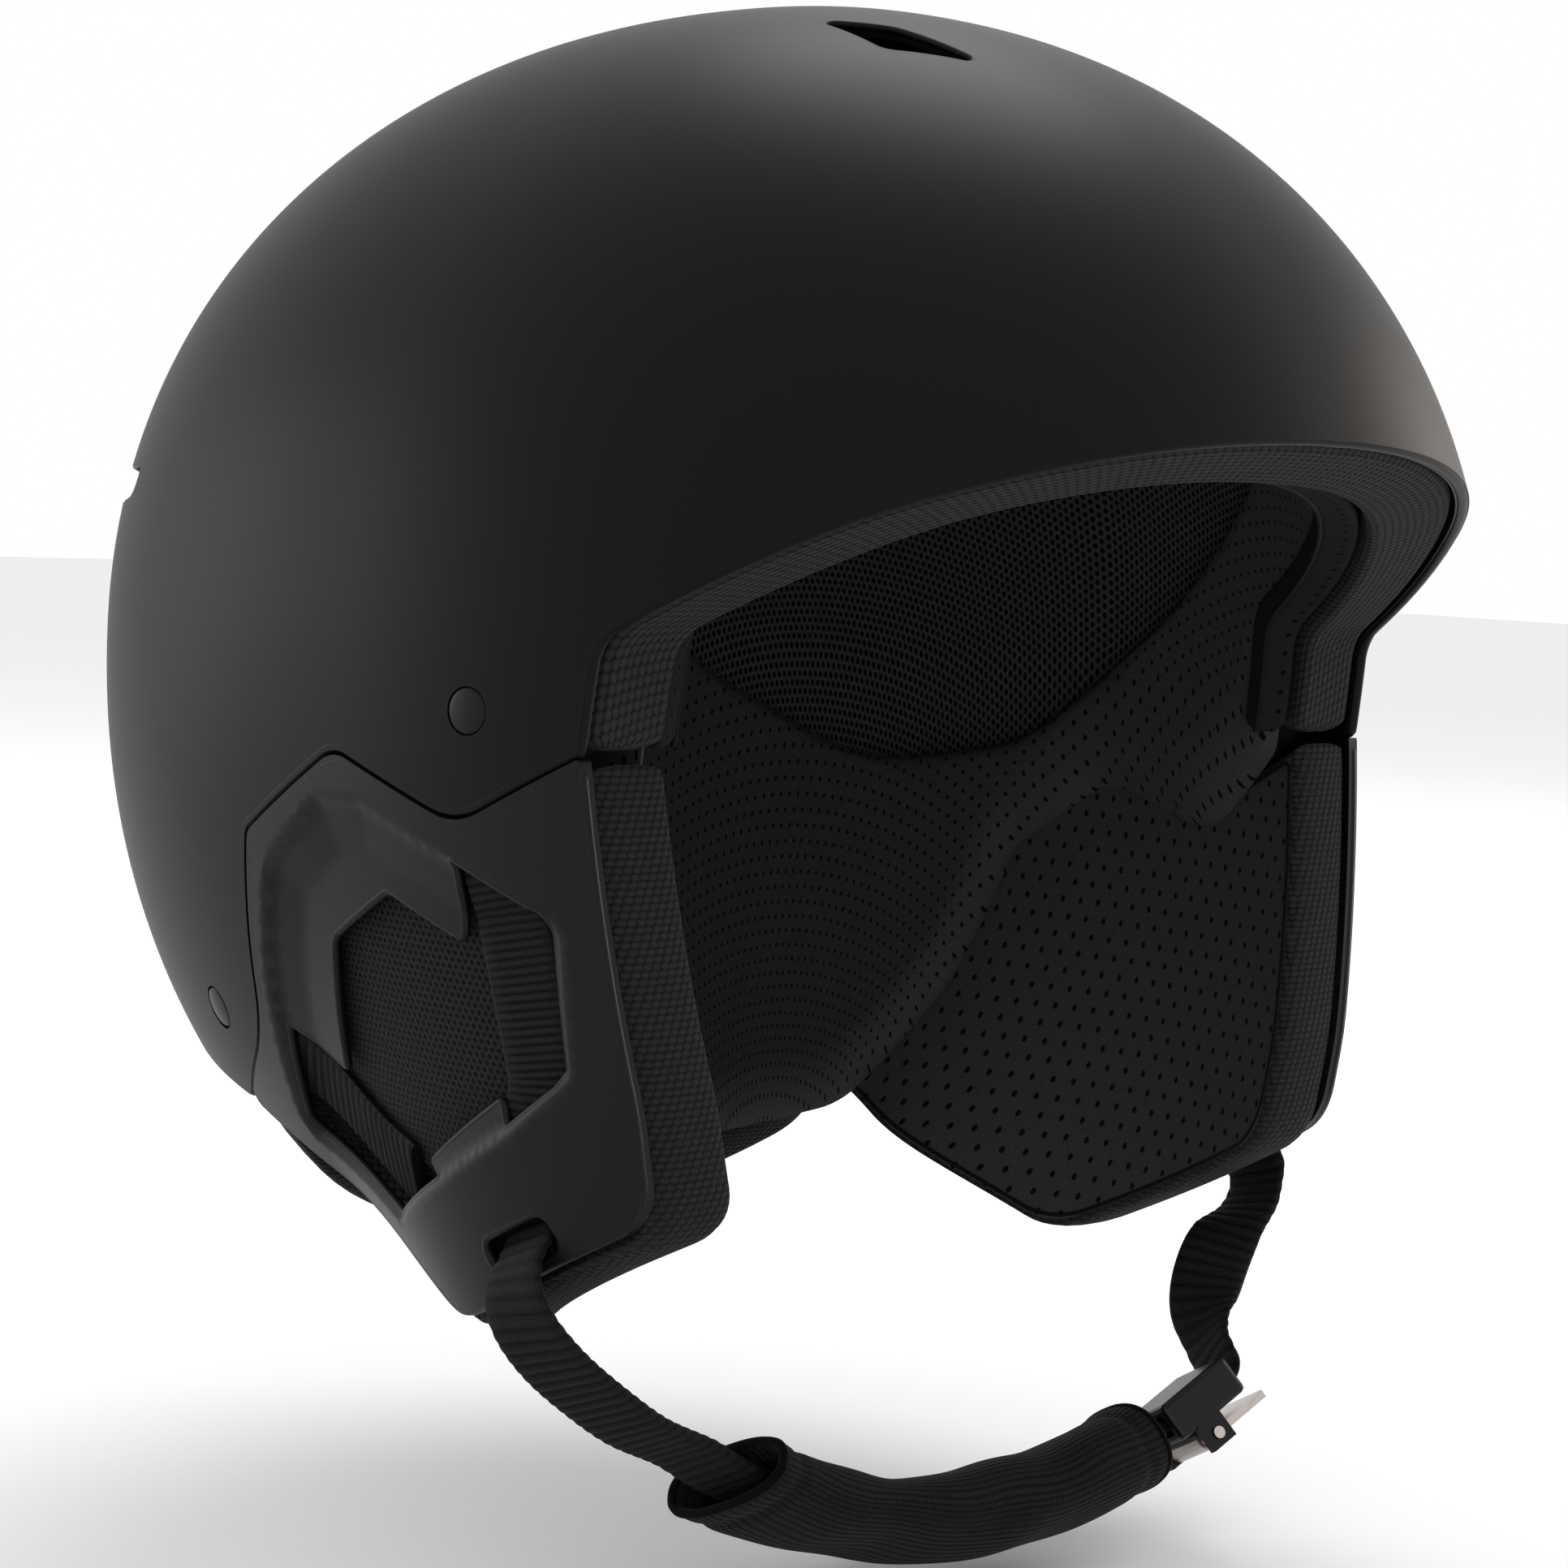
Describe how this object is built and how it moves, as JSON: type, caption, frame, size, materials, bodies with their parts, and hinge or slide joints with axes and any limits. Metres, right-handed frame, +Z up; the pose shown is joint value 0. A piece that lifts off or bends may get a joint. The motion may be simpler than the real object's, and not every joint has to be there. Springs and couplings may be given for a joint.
{
  "type": "ski helmet",
  "caption": "Black ski helmet with hard shell, foam and fabric lining, covered ears with side windows, harness webbing and a padded chin strap with a toothed buckle.",
  "frame": {"origin": "centre of the wearer's head at the helmet's widest level", "axes": "+Z up, -Y the way the wearer faces, +X towards the wearer's left"},
  "size_m": [0.224, 0.2785, 0.2843],
  "materials": {
    "shell_abs": "satin black moulded plastic",
    "foam": "moulded bead foam",
    "knit": "black knit over foam",
    "mesh": "black knitted mesh",
    "lining": "black perforated lining over foam",
    "webbing": "black ribbed webbing",
    "buckle_plastic": "black moulded plastic",
    "steel": "brushed metal"
  },
  "bodies": {
    "helmet": {"outer_shell": "shell_abs", "foam_liner": "foam", "brow_trim": "knit", "brow_pad": "lining", "comfort_liner": "lining", "nape_pad": "knit", "crown_mesh": "mesh", "crown_pad": "lining", "goggle_keeper_base": "buckle_plastic", "keeper_snap_stud": "buckle_plastic", "ear_cover_right": "shell_abs", "ear_mesh_right": "mesh", "ear_pad_right": "knit", "front_web_right": "webbing", "rear_web_right": "webbing", "front_rivet_right": "buckle_plastic", "rear_rivet_right": "buckle_plastic", "liner_dot_right_1": "knit", "liner_dot_right_2": "knit", "liner_dot_right_3": "knit", "ear_cover_left": "shell_abs", "ear_mesh_left": "mesh", "ear_pad_left": "knit", "front_web_left": "webbing", "rear_web_left": "webbing", "front_rivet_left": "buckle_plastic", "rear_rivet_left": "buckle_plastic", "liner_dot_left_1": "knit", "liner_dot_left_2": "knit", "liner_dot_left_3": "knit"},
    "chin_strap": {"chin_strap_right": "webbing", "chin_strap_left": "webbing", "buckle_base": "buckle_plastic", "lever_pin": "steel", "lever_spring": "steel"},
    "sleeve": {"chin_pad": "knit"},
    "tongue": {"tongue_web": "webbing", "buckle_tongue": "buckle_plastic"},
    "lever": {"buckle_lever": "steel"},
    "keeper": {"goggle_keeper_loop": "webbing", "keeper_snap_cap": "buckle_plastic"}
  },
  "joints": [
    {"name": "chin_strap_swing", "type": "hinge", "parent": "helmet", "child": "chin_strap", "pos_m": [0, -0.0363, -0.0926], "axis": [1, 0, 0], "range_deg": [-10, 10]},
    {"name": "sleeve_slide", "type": "hinge", "parent": "chin_strap", "child": "sleeve", "pos_m": [0.006, -0.0468, -0.0355], "axis": [-0.1288, -0.9917, 0], "range_deg": [-5, 2]},
    {"name": "tongue_pull", "type": "hinge", "parent": "chin_strap", "child": "tongue", "pos_m": [0.006, -0.0468, -0.0355], "axis": [-0.1288, -0.9917, 0], "range_deg": [-11, 0]},
    {"name": "lever_lift", "type": "hinge", "parent": "chin_strap", "child": "lever", "pos_m": [0.05992, -0.05723, -0.14606], "axis": [0.339, 0.8293, -0.4443], "range_deg": [0, 35], "stiffness_Nm_per_rad": 0.02, "springref_deg": -11.46},
    {"name": "keeper_swing", "type": "hinge", "parent": "helmet", "child": "keeper", "pos_m": [0, 0.1519, -0.004], "axis": [1, 0, 0], "range_deg": [0, 70]}
  ]
}
